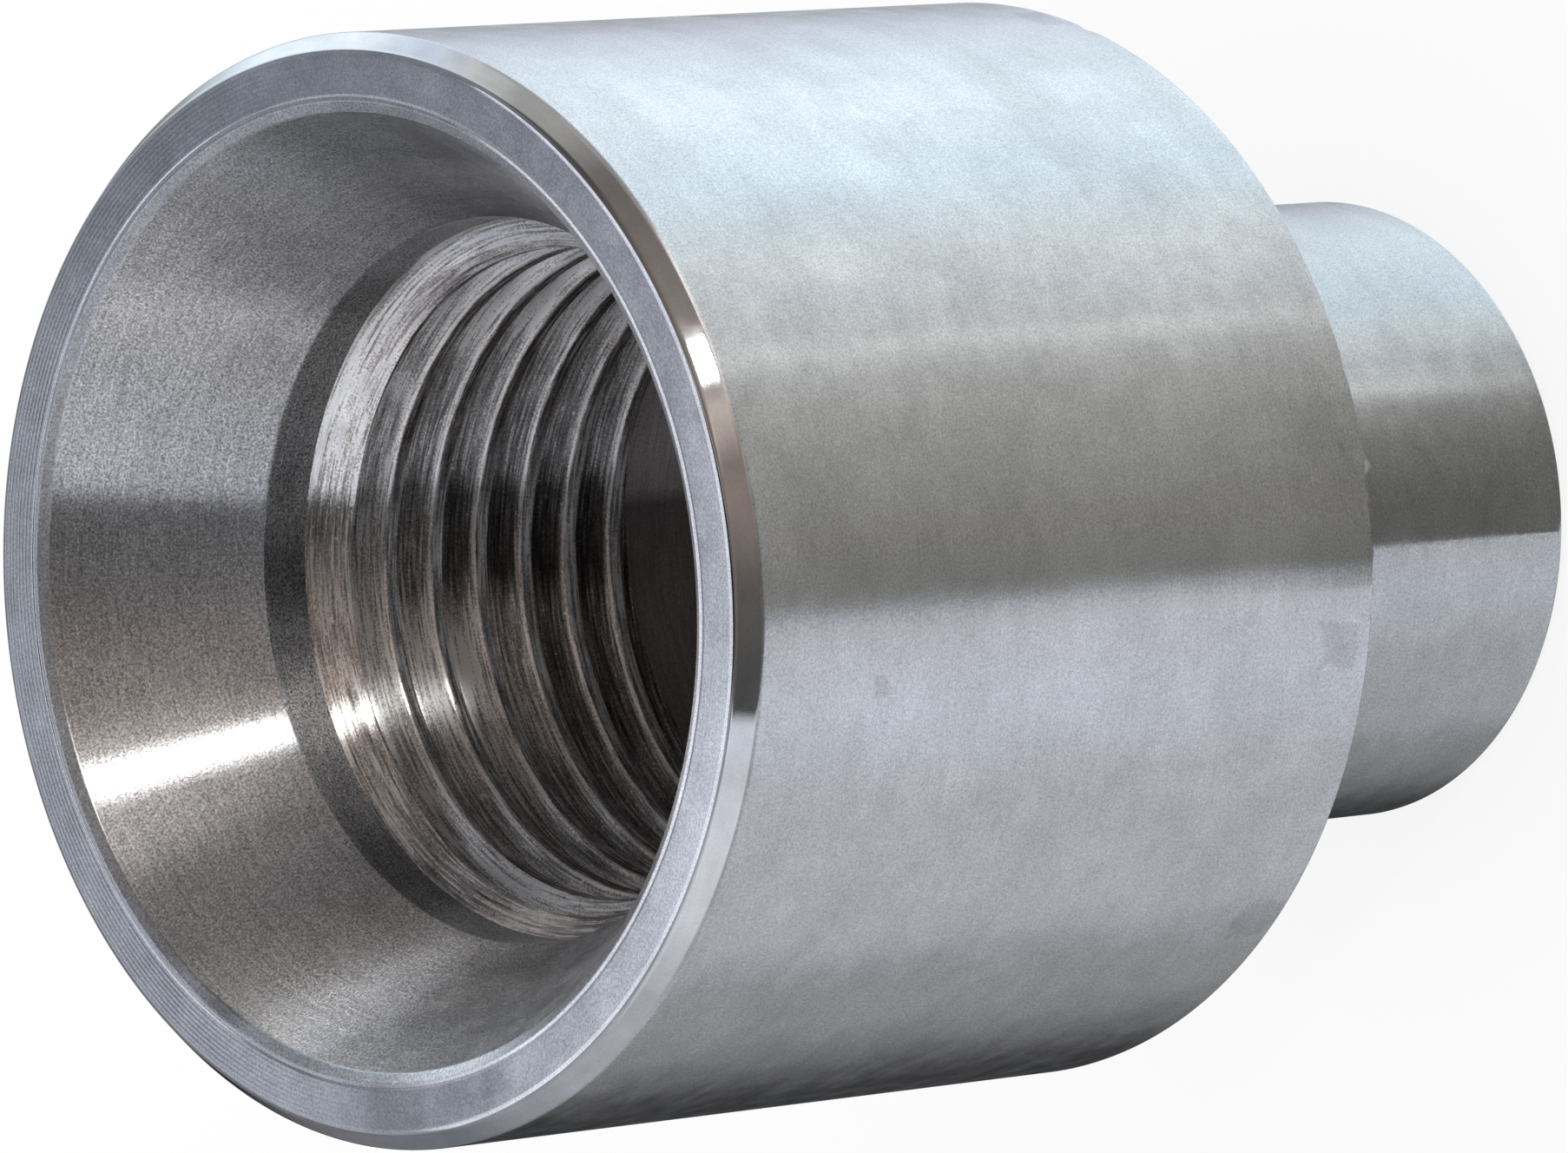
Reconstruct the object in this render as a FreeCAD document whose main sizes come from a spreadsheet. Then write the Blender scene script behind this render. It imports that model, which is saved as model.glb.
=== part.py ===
# Thread adapter: a fitting turned from one bar of stainless steel.
# A large head takes a pipe thread behind a 60 degree cone seat. A slimmer boss at the other end
# takes a smaller pipe thread. The adapter stands on the boss with its mouth up.
# The origin is the centre of the boss's end face, and +Z runs along the axis towards the mouth.
# Both threads are parallel pipe threads, right-hand. Their bores are left at the tapping size here.

import FreeCAD
import Part
import Sketcher
import os

# Driving dimensions: name, value in millimetres or degrees, what it sets
SIZES = [
    ("head_dia", 32.0, "outside of the head"),
    ("head_length", 25.3, "head, from the shoulder to the front face"),
    ("boss_dia", 18.8, "outside of the boss"),
    ("boss_length", 15.3, "boss, from its end to the shoulder"),
    ("rim_chamfer_width", 0.5, "chamfer round the front face, across the face"),
    ("rim_chamfer_depth", 0.65, "chamfer round the front face, along the axis"),
    ("shoulder_edge_break", 0.15, "broken edge at the back of the head"),
    ("boss_edge_break", 0.25, "broken edge at the end of the boss"),
    ("boss_root_radius", 0.4, "tool radius where the boss meets the shoulder"),
    ("ring_width", 1.45, "flat ring of the front face"),
    ("mouth_bevel_width", 0.3, "bevel inside the ring, across the face"),
    ("mouth_bevel_depth", 0.2, "bevel inside the ring, along the axis"),
    ("cone_angle", 60.0, "cone seat, full angle"),
    ("land_length", 1.6, "plain land between the cone and the thread"),
    ("front_bore_dia", 19.0, "tapping size of the G 1/2 thread"),
    ("lead_in_width", 1.0, "lead-in chamfer of the front thread, 45 degrees"),
    ("relief_depth", 1.2, "run-out groove behind the front thread, past the bore's wall"),
    ("relief_width", 3.3, "run-out groove, along the axis"),
    ("floor_wall", 1.8, "metal between the run-out groove and the shoulder"),
    ("passage_dia", 9.0, "passage between the two threads"),
    ("rear_bore_dia", 11.8, "tapping size of the G 1/4 thread"),
    ("rear_sink_width", 0.9, "countersink of the rear thread, 45 degrees"),
    ("rear_bore_depth", 12.0, "rear thread's bore, to the drill point"),
    ("drill_point_angle", 118.0, "drill point at the end of the rear bore, full angle"),
]

# Heights above the end of the boss, as expressions of the sheet
TOP = "(Sizes.boss_length + Sizes.head_length)"
FLOOR = "(Sizes.boss_length + Sizes.floor_wall)"
RELIEF_TOP = f"({FLOOR} + Sizes.relief_width)"
CONE_TOP = f"({TOP} - Sizes.mouth_bevel_depth)"

# Radii
HEAD = "(Sizes.head_dia / 2)"
BOSS = "(Sizes.boss_dia / 2)"
FACE_OUTER = f"({HEAD} - Sizes.rim_chamfer_width)"
FACE_INNER = f"({FACE_OUTER} - Sizes.ring_width)"
MOUTH = f"({FACE_INNER} - Sizes.mouth_bevel_width)"
FRONT_BORE = "(Sizes.front_bore_dia / 2)"
LAND = f"({FRONT_BORE} + Sizes.lead_in_width)"
RELIEF = f"({FRONT_BORE} + Sizes.relief_depth)"
PASSAGE = "(Sizes.passage_dia / 2)"
REAR_BORE = "(Sizes.rear_bore_dia / 2)"
REAR_SINK = f"({REAR_BORE} + Sizes.rear_sink_width)"

# Where the cone, the land and the lead-in end
LAND_TOP = f"({CONE_TOP} - ({MOUTH} - {LAND}) / tan(Sizes.cone_angle * 1 deg / 2))"
LAND_END = f"({LAND_TOP} - Sizes.land_length)"
LEAD_IN_END = f"({LAND_END} - Sizes.lead_in_width)"
DRILL_POINT = (
    f"(Sizes.rear_bore_depth + ({REAR_BORE} - {PASSAGE}) / tan(Sizes.drill_point_angle * 1 deg / 2))"
)


def make_sheet(doc):
    """The spreadsheet of driving dimensions."""
    sheet = doc.addObject("Spreadsheet::Sheet", "Sizes")
    for row, (name, value, note) in enumerate(SIZES, start=1):
        sheet.set(f"A{row}", name)
        sheet.set(f"B{row}", str(value))
        sheet.setAlias(f"B{row}", name)
        sheet.set(f"C{row}", note)
    doc.recompute()
    return sheet


def half_section(body, name, corners):
    """A closed sketch of straight sides on the body's XZ plane, from (radius, height) expressions."""
    sketch = body.newObject("Sketcher::SketchObject", name)
    plane = next(item for item in body.Origin.OriginFeatures if item.Role == "XZ_Plane")
    sketch.AttachmentSupport = [(plane, "")]
    sketch.MapMode = "FlatFace"
    points = []
    for radius, height in corners:
        x = float(sketch.evalExpression(radius))
        y = float(sketch.evalExpression(height))
        points.append(FreeCAD.Vector(x, y, 0))
    count = len(points)
    for side in range(count):
        sketch.addGeometry(Part.LineSegment(points[side], points[(side + 1) % count]), False)
    for side in range(count):
        sketch.addConstraint(Sketcher.Constraint("Coincident", side, 2, (side + 1) % count, 1))
    for side, (radius, height) in enumerate(corners):
        place_corner(sketch, side, "DistanceX", radius, points[side].x, axis=-2)
        place_corner(sketch, side, "DistanceY", height, points[side].y, axis=-1)
    return sketch


def place_corner(sketch, side, kind, expression, value, axis):
    """Ties one coordinate of a side's first point to the sheet, or lays the point on the axis."""
    if expression == "0":
        sketch.addConstraint(Sketcher.Constraint("PointOnObject", side, 1, axis))
        return
    index = sketch.addConstraint(Sketcher.Constraint(kind, -1, 1, side, 1, value))
    sketch.setExpression(f"Constraints[{index}]", expression)


def turn(body, kind, name, sketch):
    """A full turn of a half section about the adapter's axis."""
    feature = body.newObject(kind, name)
    feature.Profile = sketch
    feature.ReferenceAxis = (sketch, ["V_Axis"])
    feature.Angle = 360
    sketch.Visibility = False
    body.Document.recompute()
    return feature


def make_blank(body):
    """The turned outside: boss, shoulder, head and the chamfered front face."""
    corners = [
        ("0", "0"),
        (f"{BOSS} - Sizes.boss_edge_break", "0"),
        (BOSS, "Sizes.boss_edge_break"),
        (BOSS, "Sizes.boss_length"),
        (f"{HEAD} - Sizes.shoulder_edge_break", "Sizes.boss_length"),
        (HEAD, "Sizes.boss_length + Sizes.shoulder_edge_break"),
        (HEAD, f"{TOP} - Sizes.rim_chamfer_depth"),
        (FACE_OUTER, TOP),
        ("0", TOP),
    ]
    return turn(body, "PartDesign::Revolution", "Blank", half_section(body, "BlankSection", corners))


def round_boss_root(body, blank):
    """The tool radius in the corner between the boss and the shoulder."""
    height = float(blank.evalExpression("Sizes.boss_length"))
    radius = float(blank.evalExpression(BOSS))
    names = []
    for number, edge in enumerate(blank.Shape.Edges, start=1):
        curve = edge.Curve
        if isinstance(curve, Part.Circle) and abs(curve.Radius - radius) < 1e-6:
            if abs(curve.Center.z - height) < 1e-6:
                names.append(f"Edge{number}")
    fillet = body.newObject("PartDesign::Fillet", "BossRoot")
    fillet.Base = (blank, names)
    fillet.setExpression("Radius", "Sizes.boss_root_radius")
    body.Document.recompute()


def bore_front(body):
    """The mouth: bevel, cone seat, land, lead-in, thread bore and run-out groove."""
    corners = [
        ("0", TOP),
        (FACE_INNER, TOP),
        (MOUTH, CONE_TOP),
        (LAND, LAND_TOP),
        (LAND, LAND_END),
        (FRONT_BORE, LEAD_IN_END),
        (FRONT_BORE, RELIEF_TOP),
        (RELIEF, RELIEF_TOP),
        (RELIEF, FLOOR),
        ("0", FLOOR),
    ]
    turn(body, "PartDesign::Groove", "FrontPort", half_section(body, "FrontPortSection", corners))


def bore_rear(body):
    """The boss end: countersink, thread bore with its drill point, and the passage."""
    corners = [
        ("0", "0"),
        (REAR_SINK, "0"),
        (REAR_BORE, "Sizes.rear_sink_width"),
        (REAR_BORE, "Sizes.rear_bore_depth"),
        (PASSAGE, DRILL_POINT),
        (PASSAGE, FLOOR),
        ("0", FLOOR),
    ]
    turn(body, "PartDesign::Groove", "RearPort", half_section(body, "RearPortSection", corners))


def make_adapter(doc):
    """The whole adapter, one solid."""
    body = doc.addObject("PartDesign::Body", "Adapter")
    body.Label = "adapter_body"
    body.Placement = FreeCAD.Placement()
    blank = make_blank(body)
    round_boss_root(body, blank)
    bore_front(body)
    bore_rear(body)
    return body


def check(doc, parts):
    """Stops if an object failed to build or a sub-part isn't one valid solid."""
    for item in doc.Objects:
        if "Invalid" in item.State or "Error" in item.State:
            raise RuntimeError(f"{item.Label} failed: {item.State}")
    for part in parts:
        if part.Shape.isNull() or not part.Shape.isValid() or len(part.Shape.Solids) != 1:
            raise RuntimeError(f"{part.Label} is not one valid solid")


def main():
    doc = FreeCAD.newDocument("thread_adapter")
    make_sheet(doc)
    parts = [make_adapter(doc)]
    doc.recompute()
    check(doc, parts)
    os.makedirs("parts", exist_ok=True)
    for part in parts:
        part.Shape.exportStep(f"parts/{part.Label}.step")
        box = part.Shape.BoundBox
        print(f"{part.Label}: volume {part.Shape.Volume:.1f} mm3, box {box.XLength:.2f} x "
              f"{box.YLength:.2f} x {box.ZLength:.2f} mm, faces {len(part.Shape.Faces)}")


main()
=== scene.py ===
"""A turned steel thread adapter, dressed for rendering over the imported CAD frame.

Lengths here are in millimetres until MM turns them into metres. Heights are along the part's
axis, from the end of the small boss, which stands on the floor. Turns are in degrees, clockwise
as seen looking into the large mouth, from the side that is uppermost in the picture.
"""
import math
from collections import namedtuple
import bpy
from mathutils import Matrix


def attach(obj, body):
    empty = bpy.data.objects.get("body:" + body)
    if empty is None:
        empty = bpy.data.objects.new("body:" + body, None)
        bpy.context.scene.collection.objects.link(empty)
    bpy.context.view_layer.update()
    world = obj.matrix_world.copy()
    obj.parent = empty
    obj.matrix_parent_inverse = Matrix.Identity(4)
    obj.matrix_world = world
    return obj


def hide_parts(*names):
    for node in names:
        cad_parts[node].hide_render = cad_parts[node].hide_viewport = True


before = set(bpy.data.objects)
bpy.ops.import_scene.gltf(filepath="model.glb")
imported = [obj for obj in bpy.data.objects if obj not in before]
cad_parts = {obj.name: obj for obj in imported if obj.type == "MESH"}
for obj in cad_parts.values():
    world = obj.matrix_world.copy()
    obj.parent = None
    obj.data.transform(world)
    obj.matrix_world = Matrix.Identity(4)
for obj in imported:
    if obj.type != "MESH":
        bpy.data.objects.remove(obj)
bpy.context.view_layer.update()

from types import SimpleNamespace

import bmesh
import bpy
from mathutils import Matrix, Vector

MM = 0.001

# Outside of the part
HEAD_RADIUS = 16.0
BOSS_RADIUS = 9.4
TOP = 40.6
SHOULDER = 15.3
RIM_ACROSS = 0.5
RIM_DOWN = 0.65
SHOULDER_BREAK = 0.15
SHOULDER_ROW = 0.75
BOSS_BREAK = 0.25
BOSS_ROOT_RADIUS = 0.4

# Ring, mouth and cone. A shallow groove runs round the inside of the ring.
FACE_INNER_RADIUS = 14.05
FACE_DISH = 0.06
RING_GROOVE_START = 0.19
RING_GROOVE_LIP = 0.01
RING_GROOVE_MIDDLE = 0.12
RING_GROOVE_DEPTH = 0.018
MOUTH_RADIUS = 13.75
CONE_TOP = 40.34
LAND_RADIUS = 10.5
LAND_TOP = 34.771
LAND_END = 33.171

# Front thread, right hand, and what lies behind it
FRONT_BORE_RADIUS = 9.5
FRONT_MAJOR_RADIUS = 10.4775
FRONT_PITCH = 1.814
FRONT_GROOVE_HEIGHT = 31.458
FRONT_GROOVE_TURN = -70.0
LEAD_IN_END = LAND_END - (LAND_RADIUS - FRONT_BORE_RADIUS)
RELIEF_RADIUS = 10.7
RELIEF_TOP = 20.4
FLOOR_HEIGHT = 17.1
PASSAGE_RADIUS = 4.5

# Rear thread: the same form, smaller. As built here it is left hand.
REAR_BORE_RADIUS = 5.9
REAR_MAJOR_RADIUS = 6.5785
REAR_PITCH = 1.337
REAR_GROOVE_HEIGHT = 1.1
REAR_GROOVE_TURN = 30.0
REAR_SINK_RADIUS = 6.8
REAR_BORE_TOP = 12.0
DRILL_POINT_TOP = 12.841
REAR_THREAD_TOP = 11.2
REAR_FADE_LENGTH = 2.0
REAR_FADE_DEPTH = 0.8

# Form of both threads: the depths and the rounding are shares of the pitch
FLANK_ANGLE = 27.5
FLANK_SLOPE = 1.0 / math.tan(math.radians(FLANK_ANGLE))
FORM_DEPTH = 0.640327
FORM_SHARP_DEPTH = 0.960491
FORM_ROUNDING = 0.137329

# How near a groove's flank comes to the plain bore where the rounding of the crest begins
CREST_ROUNDING = 0.14

# Mesh: rows beside the corners, and turns of a thread beyond its ends that are cut off there
COLUMNS = 240
ROUNDING_STEPS = 3
ROW_INSET = 0.06
ROW_INSET_SHARE = 0.2
CREST_ROW_SHARE = 0.35
SPARE_TURNS = 4
MERGE_DISTANCE = 0.0002
SHARP_ANGLE = 32.0

# Nicks and burrs of the shoulder's edge: (turn, outwards, upwards)
NICKS = [
    (82.5, 0.05, -0.24),
    (84.0, -0.04, 0.08),
    (91.5, 0.02, -0.05),
    (97.5, -0.03, 0.06),
    (72.0, -0.03, 0.04),
    (19.5, -0.05, 0.08),
]
NICK_REACH = 0.5
NICK_WIDTH = 0.8
BURR_LIMIT = 0.06


def softened(corners):
    """An open line of (radius, height), from corners of (radius, height, size).

    Each corner but the two ends is cut back by its size and rounded. Rows are added just inside
    each rounded corner, so that smooth shading stays flat between them.
    """
    out = [corners[0][:2]]
    for before, corner, after in zip(corners, corners[1:], corners[2:]):
        size = corner[2]
        if size == 0.0:
            out.append(corner[:2])
            continue
        here = Vector(corner[:2])
        back = Vector(before[:2]) - here
        on = Vector(after[:2]) - here
        start = here + back.normalized() * size
        end = here + on.normalized() * size
        inset = min(ROW_INSET, ROW_INSET_SHARE * back.length, ROW_INSET_SHARE * on.length)
        out.append(tuple(start + back.normalized() * inset))
        for step in range(ROUNDING_STEPS + 1):
            t = step / ROUNDING_STEPS
            bend = start * (1 - t) ** 2 + here * 2 * t * (1 - t) + end * t ** 2
            out.append(tuple(bend))
        out.append(tuple(end + on.normalized() * inset))
    out.append(corners[-1][:2])
    return out


def outer_rows():
    """The line round the outside, from the rear port over the boss and head to the land."""
    return softened([
        (REAR_SINK_RADIUS, 0.0, 0.0),
        (BOSS_RADIUS - BOSS_BREAK, 0.0, 0.05),
        (BOSS_RADIUS, BOSS_BREAK, 0.05),
        (BOSS_RADIUS, SHOULDER, BOSS_ROOT_RADIUS),
        (HEAD_RADIUS - SHOULDER_ROW, SHOULDER, 0.0),
        (HEAD_RADIUS - SHOULDER_BREAK, SHOULDER, 0.04),
        (HEAD_RADIUS, SHOULDER + SHOULDER_BREAK, 0.04),
        (HEAD_RADIUS, SHOULDER + SHOULDER_ROW, 0.0),
        (HEAD_RADIUS, TOP - RIM_DOWN, 0.08),
        (HEAD_RADIUS - RIM_ACROSS, TOP, 0.12),
        (FACE_INNER_RADIUS + RING_GROOVE_START, TOP - FACE_DISH + RING_GROOVE_LIP, 0.02),
        (FACE_INNER_RADIUS + RING_GROOVE_MIDDLE, TOP - FACE_DISH - RING_GROOVE_DEPTH, 0.02),
        (FACE_INNER_RADIUS, TOP - FACE_DISH, 0.03),
        (MOUTH_RADIUS, CONE_TOP, 0.04),
        (LAND_RADIUS, LAND_TOP, 0.06),
        (LAND_RADIUS, LAND_END, 0.0),
    ])


def inner_rows():
    """The line from the end of the front thread to the start of the rear bore."""
    return softened([
        (FRONT_BORE_RADIUS, RELIEF_TOP, 0.0),
        (RELIEF_RADIUS, RELIEF_TOP, 0.06),
        (RELIEF_RADIUS, FLOOR_HEIGHT, 0.15),
        (PASSAGE_RADIUS, FLOOR_HEIGHT, 0.08),
        (PASSAGE_RADIUS, DRILL_POINT_TOP, 0.05),
        (REAR_BORE_RADIUS, REAR_BORE_TOP, 0.0),
    ])[1:-1]


def front_base(z):
    """Radius of the front bore before threading: the lead-in, then the bore."""
    return max(FRONT_BORE_RADIUS, min(LAND_RADIUS, FRONT_BORE_RADIUS + z - LEAD_IN_END))


def rear_base(z):
    """Radius of the rear bore before threading, with its countersink."""
    return max(REAR_BORE_RADIUS, REAR_SINK_RADIUS - z)


def front_fade(z):
    """How much shallower the front groove is at a height: it keeps its depth all the way."""
    return 0.0


def rear_fade(z):
    """How much shallower the rear groove is at a height: it fades out below its top."""
    share = (z - REAR_THREAD_TOP + REAR_FADE_LENGTH) / REAR_FADE_LENGTH
    return REAR_FADE_DEPTH * min(max(share, 0.0), 1.0)


# height is where the groove's centre passes at turn, and corner where the plain bore begins
Thread = namedtuple(
    "Thread", ["bore", "major", "pitch", "height", "turn", "top", "bottom", "corner", "base", "fade"],
)
FRONT_THREAD = Thread(
    FRONT_BORE_RADIUS, FRONT_MAJOR_RADIUS, FRONT_PITCH, FRONT_GROOVE_HEIGHT, FRONT_GROOVE_TURN,
    top=LAND_END, bottom=RELIEF_TOP, corner=LEAD_IN_END, base=front_base, fade=front_fade,
)
REAR_THREAD = Thread(
    REAR_BORE_RADIUS, REAR_MAJOR_RADIUS, REAR_PITCH, REAR_GROOVE_HEIGHT, REAR_GROOVE_TURN,
    top=REAR_BORE_TOP, bottom=0.0, corner=REAR_SINK_RADIUS - REAR_BORE_RADIUS,
    base=rear_base, fade=rear_fade,
)


def soft_max(a, b, blend):
    """The larger of two numbers, with the change from one to the other rounded."""
    h = max(blend - abs(a - b), 0.0) / blend
    return max(a, b) + h * h * blend * 0.25


def sharp_radius(thread):
    """Radius where a groove's two flanks would meet, if its root weren't rounded."""
    pitch = thread.pitch
    return thread.major - FORM_DEPTH * pitch * 0.5 + FORM_SHARP_DEPTH * pitch * 0.5


def root_half_width(thread):
    """Half the width along the axis of a groove's rounded root."""
    return FORM_ROUNDING * thread.pitch * math.cos(math.radians(FLANK_ANGLE))


def groove_radius(offset, thread):
    """Radius of a groove's wall at a distance along the axis from its centre."""
    if offset >= root_half_width(thread):
        return sharp_radius(thread) - FLANK_SLOPE * offset
    root = FORM_ROUNDING * thread.pitch
    return thread.major - root + math.sqrt(root * root - offset * offset)


def row_offsets(thread, crest_steps, edge, flank_steps, root_steps):
    """Places along one pitch where the thread gets rows, from one groove centre to the next.

    The crest's corner has rows of its own, as far as edge to each side.
    """
    crest_start = (sharp_radius(thread) - thread.bore) / FLANK_SLOPE
    flank_start = root_half_width(thread)
    half = [flank_start * k / root_steps for k in range(root_steps)]
    span = crest_start - edge - flank_start
    half += [flank_start + span * k / flank_steps for k in range(flank_steps + 1)]
    near = edge * CREST_ROW_SHARE
    half += [crest_start - near, crest_start + near, crest_start + edge]
    crest = thread.pitch * 0.5 - crest_start - edge
    half += [crest_start + edge + crest * k / crest_steps for k in range(1, crest_steps + 1)]
    return half + [thread.pitch - value for value in reversed(half[1:-1])]


def thread_column(turn, thread, steps):
    """One column of (radius, height) down a threaded bore, with the same count at every turn."""
    lead = thread.height - thread.pitch * (turn - thread.turn) / 360.0
    count = int((thread.top - thread.bottom) / thread.pitch) + SPARE_TURNS
    heights = [thread.corner]
    for k in range(-count, count + 1):
        for step in steps:
            place = lead - thread.pitch * k - step
            heights.append(min(max(place, thread.bottom), thread.top))
    heights.sort(reverse=True)
    column = []
    for z in heights:
        offset = (z - lead) % thread.pitch
        offset = min(offset, thread.pitch - offset)
        cut = groove_radius(offset, thread) - thread.fade(z)
        column.append((soft_max(thread.base(z), cut, CREST_ROUNDING), z))
    return column


def nicked(radius, height, turn):
    """A point of the outside, moved a little where the shoulder's edge has a nick or a burr."""
    reach = math.hypot(radius - HEAD_RADIUS, height - SHOULDER)
    if reach > NICK_REACH:
        return radius, height
    for place, out, up in NICKS:
        strength = math.exp(-(((turn - place) / NICK_WIDTH) ** 2)) * (1.0 - reach / NICK_REACH)
        radius += out * strength
        height += up * strength
    return min(radius, HEAD_RADIUS + BURR_LIMIT), height


def build_columns():
    """The part's outline as a closed line of points, once for each column round the axis."""
    front_steps = row_offsets(FRONT_THREAD, crest_steps=2, edge=0.08, flank_steps=3, root_steps=3)
    rear_steps = row_offsets(REAR_THREAD, crest_steps=1, edge=0.07, flank_steps=2, root_steps=2)
    outer = outer_rows()
    inner = inner_rows()
    columns = []
    for i in range(COLUMNS + 1):
        turn = 360.0 * i / COLUMNS
        front = thread_column(turn, FRONT_THREAD, front_steps)
        rear = thread_column(-turn, REAR_THREAD, rear_steps)
        line = [nicked(r, z, turn) for r, z in outer] + front + inner + rear
        angle = math.radians(turn)
        columns.append([(r * math.cos(angle), -r * math.sin(angle), z) for r, z in line])
    return columns


def build_body():
    """The whole part as one closed mesh: a turned line, with both threads cut as real grooves."""
    columns = build_columns()
    bm = bmesh.new()
    grid = [[bm.verts.new(Vector(p) * MM) for p in column] for column in columns]
    rows = len(columns[0])
    for i in range(COLUMNS):
        for j in range(rows):
            k = (j + 1) % rows
            bm.faces.new([grid[i][j], grid[i][k], grid[i + 1][k], grid[i + 1][j]])
    bmesh.ops.remove_doubles(bm, verts=bm.verts, dist=MERGE_DISTANCE * MM)
    bmesh.ops.recalc_face_normals(bm, faces=bm.faces)
    for face in bm.faces:
        face.smooth = True
    mesh = bpy.data.meshes.new("adapter_turned")
    bm.to_mesh(mesh)
    bm.free()
    mesh.set_sharp_from_angle(angle=math.radians(SHARP_ANGLE))
    for polygon in mesh.polygons:
        polygon.material_index = FINISHES.index(zone_of(polygon.center))
    piece = bpy.data.objects.new("adapter_turned", mesh)
    bpy.context.scene.collection.objects.link(piece)
    return piece


FINISHES = [
    "side", "rim", "face", "cone", "land", "thread", "bore", "rear", "boss", "bevel",
]

# How far from the corners of the outline the finishes meet
EDGE_MARGIN = 0.03
FACE_MARGIN = 0.02
RELIEF_MARGIN = 0.01
SIDE_MARGIN = 1.0
BOSS_MARGIN = 2.0
ABOVE_SHOULDER = 0.1
BELOW_SHOULDER = 0.3
BELOW_DRILL_POINT = 0.05


def zone_of(centre):
    """The name of the finish that a face has, from its place."""
    height = centre.z / MM
    radius = math.hypot(centre.x, centre.y) / MM
    if height > CONE_TOP - EDGE_MARGIN and radius < FACE_INNER_RADIUS + FACE_MARGIN:
        return "bevel"
    if height > TOP - RIM_DOWN + EDGE_MARGIN and radius > FACE_INNER_RADIUS:
        return "face" if radius < HEAD_RADIUS - RIM_ACROSS - FACE_MARGIN else "rim"
    if radius > HEAD_RADIUS - SIDE_MARGIN:
        return "side"
    if height > LAND_TOP + FACE_MARGIN:
        return "cone"
    if height > LAND_END + FACE_MARGIN:
        return "land"
    if height > RELIEF_TOP + RELIEF_MARGIN:
        return "thread"
    if radius > BOSS_RADIUS - BOSS_MARGIN and height <= SHOULDER + ABOVE_SHOULDER:
        return "side" if height > SHOULDER - BELOW_SHOULDER else "boss"
    return "bore" if height > DRILL_POINT_TOP - BELOW_DRILL_POINT else "rear"


def calc(tree, operation, *values):
    """A Math node. Each input may be a number or another node's output."""
    node = tree.nodes.new("ShaderNodeMath")
    node.operation = operation
    for socket, value in zip(node.inputs, values):
        if isinstance(value, (int, float)):
            socket.default_value = value
        else:
            tree.links.new(value, socket)
    return node.outputs[0]


def times(tree, first, second):
    """The product of two values."""
    return calc(tree, "MULTIPLY", first, second)


def scaled(tree, value, amount, offset=0.0):
    """A value times an amount, plus an offset."""
    return calc(tree, "MULTIPLY_ADD", value, amount, offset)


def varied(tree, value, amount):
    """A multiplier that follows a value from 0 to 1, by amount in all, and is 1 where it is 0.5."""
    return scaled(tree, value, amount, 1.0 - amount / 2.0)


def between(tree, value, start, end):
    """How far a value is from start to end, as a number from 0 to 1."""
    node = tree.nodes.new("ShaderNodeMapRange")
    node.inputs["From Min"].default_value = start
    node.inputs["From Max"].default_value = end
    tree.links.new(value, node.inputs["Value"])
    return node.outputs[0]


def noise(tree, vector, scale, detail, roughness=0.5):
    """Noise from 0 to 1, which lies close to a half for the most part."""
    node = tree.nodes.new("ShaderNodeTexNoise")
    node.inputs["Scale"].default_value = scale
    node.inputs["Detail"].default_value = detail
    node.inputs["Roughness"].default_value = roughness
    tree.links.new(vector, node.inputs["Vector"])
    return node.outputs["Fac"]


def cloud(tree, at, per_mm, detail):
    """Plain noise, the same in every direction."""
    return noise(tree, at.where, per_mm / MM, detail)


def ring_noise(tree, at, per_mm, round_scale, detail):
    """Noise that changes quickly across the tool lines and slowly round the axis."""
    join = tree.nodes.new("ShaderNodeCombineXYZ")
    tree.links.new(times(tree, at.path, per_mm / MM), join.inputs[0])
    tree.links.new(times(tree, at.across, round_scale), join.inputs[1])
    tree.links.new(times(tree, at.along, round_scale), join.inputs[2])
    return noise(tree, join.outputs[0], 1.0, detail, roughness=0.6)


def places(tree, pitch):
    """What the finishes need to know of a point of the surface, as outputs of nodes.

    path is the distance across the tool lines, which follow a thread where there is a pitch.
    """
    where = tree.nodes.new("ShaderNodeTexCoord").outputs["Object"]
    split = tree.nodes.new("ShaderNodeSeparateXYZ")
    tree.links.new(where, split.inputs[0])
    x, y, level = split.outputs
    squares = calc(tree, "ADD", times(tree, x, x), times(tree, y, y))
    radius = calc(tree, "SQRT", squares)
    climbed = level
    if pitch:
        lead = times(tree, calc(tree, "ARCTAN2", x, y), pitch * MM / (2.0 * math.pi))
        climbed = calc(tree, "ADD", level, lead)
    return SimpleNamespace(
        where=where,
        y=y,
        level=level,
        radius=radius,
        across=calc(tree, "DIVIDE", x, radius),
        along=calc(tree, "DIVIDE", y, radius),
        path=calc(tree, "ADD", radius, climbed),
        turn=calc(tree, "ARCTAN2", scaled(tree, y, -1.0), x),
    )


# How much each pattern changes the relief, the roughness and the colour
GRAIN_RELIEF = 1.2
BROAD_ROUGHNESS = 0.06
MOTTLE_ROUGHNESS = 0.10
TORN_ROUGHNESS = 0.15
PATCH_CHANGE = 0.30
MOTTLE_CHANGE = 0.30
STRAND_CHANGE = 3.4
TORN_CHANGE = 0.8
TORN_BASE = 0.92
FLECK_CHANGE = 1.6
RAGGED_CHANGE = 1.2
FEED_SWAY = 3.0

# Where noise counts as a torn strand, a torn patch or a bright fleck: none and full
TORN_STRANDS = (0.50, 0.68)
TORN_PATCHES = (0.30, 0.62)
FLECKS = (0.66, 0.78)

# Depths between which a crest starts to be worn, and a flank gets its own tones
CREST_DEPTHS = (0.10 * MM, 0.02 * MM)
FLANK_DEPTHS = (0.05 * MM, 0.22 * MM)


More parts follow.
